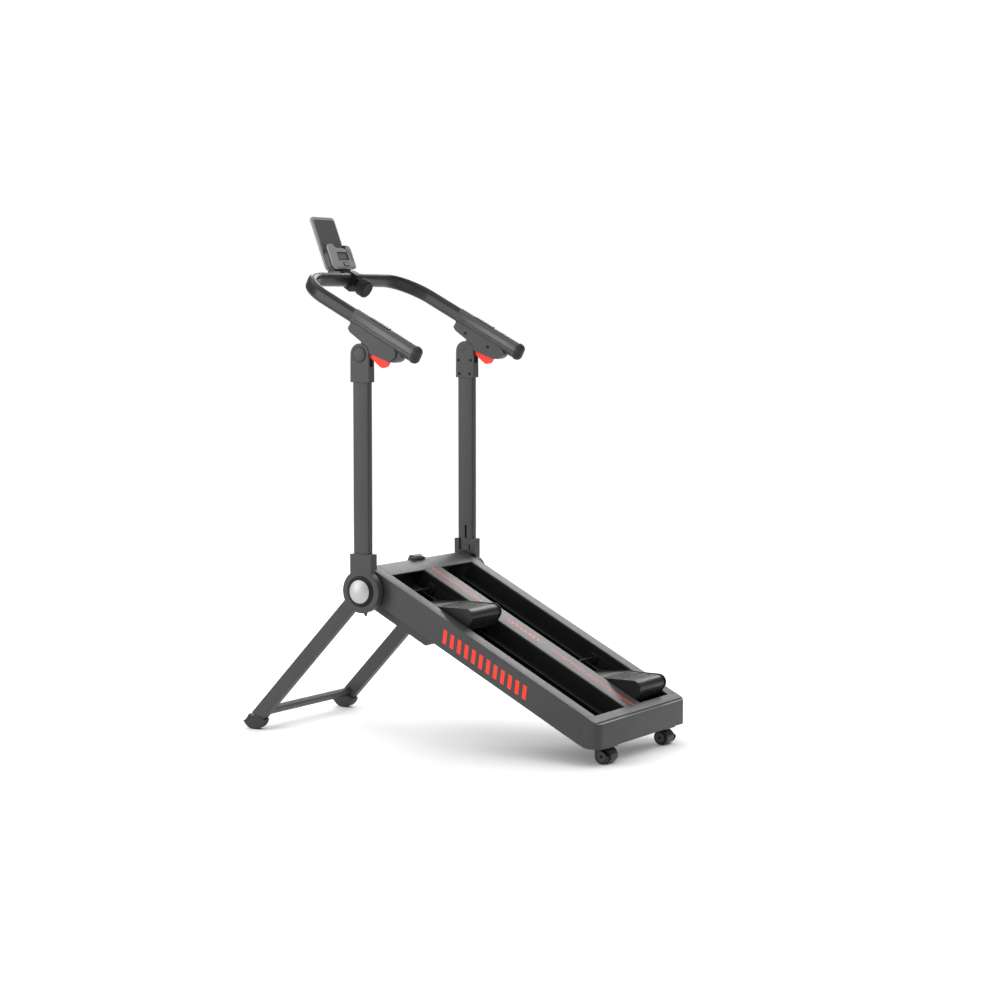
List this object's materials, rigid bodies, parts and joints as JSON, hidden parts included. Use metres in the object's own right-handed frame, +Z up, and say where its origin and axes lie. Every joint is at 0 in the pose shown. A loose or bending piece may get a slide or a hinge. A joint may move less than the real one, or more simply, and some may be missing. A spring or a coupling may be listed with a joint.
{
  "type": "folding inclined stepper",
  "caption": "Folding inclined stepper: two sliding pedals on a sloping deck, fold-down posts with a U handlebar and console, folding rear legs and transport wheels.",
  "frame": {"origin": "on the floor, under the middle of the whole machine's box", "axes": "+Z up, +Y from the low end towards the console, +X to the user's right"},
  "size_m": [0.58, 1.1465, 1.4256],
  "materials": {
    "frame": "satin charcoal powder coat",
    "cover": "fine-grained charcoal plastic",
    "black": "matt black",
    "rubber": "matt black rubber",
    "satin": "satin black coat",
    "pedal": "grained black plastic with a ribbed tread",
    "silver": "satin silver",
    "steel": "machined",
    "red": "satin red plastic",
    "console": "grey plastic",
    "screen": "unlit grey display",
    "glass": "dark glass front in a light rim"
  },
  "bodies": {
    "deck": {"left_side_beam": "frame", "right_side_beam": "frame", "centre_beam": "cover", "high_end_cover": "cover", "left_track": "black", "right_track": "black", "left_pedal_belt": "rubber", "right_pedal_belt": "rubber", "step_up_belt": "rubber", "resistance_housing": "frame", "end_cap": "frame", "left_wheel_bracket": "satin", "right_wheel_bracket": "satin", "left_hub_base": "satin", "right_hub_base": "satin", "left_hub_cap": "silver", "right_hub_cap": "silver"},
    "posts": {"left_collar": "frame", "right_collar": "frame", "left_post": "frame", "right_post": "frame", "left_head": "frame", "right_head": "frame", "left_head_pin": "frame", "right_head_pin": "frame"},
    "handlebar": {"handlebar": "satin", "left_grip": "rubber", "right_grip": "rubber", "left_pulse_sensor": "silver", "right_pulse_sensor": "silver", "left_bracket": "frame", "right_bracket": "frame", "console_clamp": "black"},
    "left_trigger": {"left_release_trigger": "red"},
    "right_trigger": {"right_release_trigger": "red"},
    "knob": {"clamp_knob": "black"},
    "console": {"console_front": "console", "console_back": "cover", "display": "screen"},
    "button": {"console_button": "console"},
    "device": {"device": "glass"},
    "legs": {"left_leg": "frame", "right_leg": "frame", "leg_crossbar": "frame", "left_foot": "rubber", "right_foot": "rubber"},
    "release_lever": {"release_lever": "cover"},
    "left_wheel": {"left_wheel": "rubber"},
    "right_wheel": {"right_wheel": "rubber"},
    "drive_shaft": {"drive_shaft": "steel"},
    "idler_shaft": {"idler_shaft": "steel"},
    "flywheel": {"flywheel": "steel"},
    "left_pedal": {"left_pedal": "pedal", "left_carriage": "satin"},
    "right_pedal": {"right_pedal": "pedal", "right_carriage": "satin"},
    "left_lower_rollers": {"left_lower_rollers": "rubber"},
    "left_upper_rollers": {"left_upper_rollers": "rubber"},
    "right_lower_rollers": {"right_lower_rollers": "rubber"},
    "right_upper_rollers": {"right_upper_rollers": "rubber"}
  },
  "joints": [
    {"name": "post_fold", "type": "hinge", "parent": "deck", "child": "posts", "pos_m": [0, 0.139, 0.4145], "axis": [1, 0, 0], "range_deg": [0, 110]},
    {"name": "handle_fold", "type": "hinge", "parent": "posts", "child": "handlebar", "pos_m": [0, 0.139, 1.0485], "axis": [-1, 0, 0], "range_deg": [0, 110]},
    {"name": "leg_fold", "type": "hinge", "parent": "deck", "child": "legs", "pos_m": [0, 0.1845, 0.396], "axis": [-1, 0, 0], "range_deg": [0, 104]},
    {"name": "left_slide", "type": "slide", "parent": "deck", "child": "left_pedal", "axis": [0, 0.8868, 0.4621], "range_m": [-0.42, 0]},
    {"name": "right_slide", "type": "slide", "parent": "deck", "child": "right_pedal", "axis": [0, 0.8868, 0.4621], "range_m": [0, 0.42]},
    {"name": "drive_spin", "type": "hinge", "parent": "deck", "child": "drive_shaft", "pos_m": [0, 0.12599, 0.40903], "axis": [1, 0, 0], "continuous": true},
    {"name": "idler_spin", "type": "hinge", "parent": "deck", "child": "idler_shaft", "pos_m": [0, -0.48949, 0.08836], "axis": [1, 0, 0], "continuous": true},
    {"name": "flywheel_spin", "type": "hinge", "parent": "deck", "child": "flywheel", "pos_m": [0, 0.01749, 0.34889], "axis": [1, 0, 0], "continuous": true},
    {"name": "left_lower_roll", "type": "hinge", "parent": "left_pedal", "child": "left_lower_rollers", "pos_m": [-0.122, -0.11212, 0.31632], "axis": [1, 0, 0], "continuous": true},
    {"name": "left_upper_roll", "type": "hinge", "parent": "left_pedal", "child": "left_upper_rollers", "pos_m": [-0.122, 0.05993, 0.40596], "axis": [1, 0, 0], "continuous": true},
    {"name": "right_lower_roll", "type": "hinge", "parent": "right_pedal", "child": "right_lower_rollers", "pos_m": [0.122, -0.4846, 0.12225], "axis": [1, 0, 0], "continuous": true},
    {"name": "right_upper_roll", "type": "hinge", "parent": "right_pedal", "child": "right_upper_rollers", "pos_m": [0.122, -0.31255, 0.21189], "axis": [1, 0, 0], "continuous": true},
    {"name": "left_wheel_spin", "type": "hinge", "parent": "deck", "child": "left_wheel", "pos_m": [-0.158, -0.551, 0.021], "axis": [1, 0, 0], "continuous": true},
    {"name": "right_wheel_spin", "type": "hinge", "parent": "deck", "child": "right_wheel", "pos_m": [0.158, -0.551, 0.021], "axis": [1, 0, 0], "continuous": true},
    {"name": "left_trigger_squeeze", "type": "hinge", "parent": "handlebar", "child": "left_trigger", "pos_m": [-0.261, 0.098, 1.057], "axis": [-1, 0, 0], "range_deg": [0, 8], "stiffness_Nm_per_rad": 0.8},
    {"name": "right_trigger_squeeze", "type": "hinge", "parent": "handlebar", "child": "right_trigger", "pos_m": [0.261, 0.098, 1.057], "axis": [-1, 0, 0], "range_deg": [0, 8], "stiffness_Nm_per_rad": 0.8},
    {"name": "release_lever_lift", "type": "hinge", "parent": "deck", "child": "release_lever", "pos_m": [0, 0.15425, 0.46299], "axis": [-1, 0, 0], "range_deg": [0, 20], "stiffness_Nm_per_rad": 1},
    {"name": "console_tilt", "type": "hinge", "parent": "handlebar", "child": "console", "pos_m": [0, 0.37658, 1.26533], "axis": [1, 0, 0], "range_deg": [-12, 12]},
    {"name": "knob_turn", "type": "hinge", "parent": "handlebar", "child": "knob", "pos_m": [0, 0.31396, 1.22687], "axis": [0, -0.887, -0.4617], "range_deg": [0, 360]},
    {"name": "button_press", "type": "slide", "parent": "console", "child": "button", "axis": [0, 0.9336, -0.3584], "range_m": [0, 0.001], "stiffness_N_per_m": 400},
    {"name": "device_lift", "type": "slide", "parent": "console", "child": "device", "axis": [0, 0.3584, 0.9336], "range_m": [0, 0.13]}
  ],
  "couplings": [
    {"joint": "right_slide", "follows": "left_slide", "ratio": -1},
    {"joint": "drive_spin", "follows": "left_slide", "rad_per_m": -90.909},
    {"joint": "idler_spin", "follows": "left_slide", "rad_per_m": -90.909},
    {"joint": "flywheel_spin", "follows": "left_slide", "rad_per_m": -327.27},
    {"joint": "left_lower_roll", "follows": "left_slide", "rad_per_m": -68.027},
    {"joint": "left_upper_roll", "follows": "left_slide", "rad_per_m": -68.027},
    {"joint": "right_lower_roll", "follows": "left_slide", "rad_per_m": 68.027},
    {"joint": "right_upper_roll", "follows": "left_slide", "rad_per_m": 68.027}
  ]
}
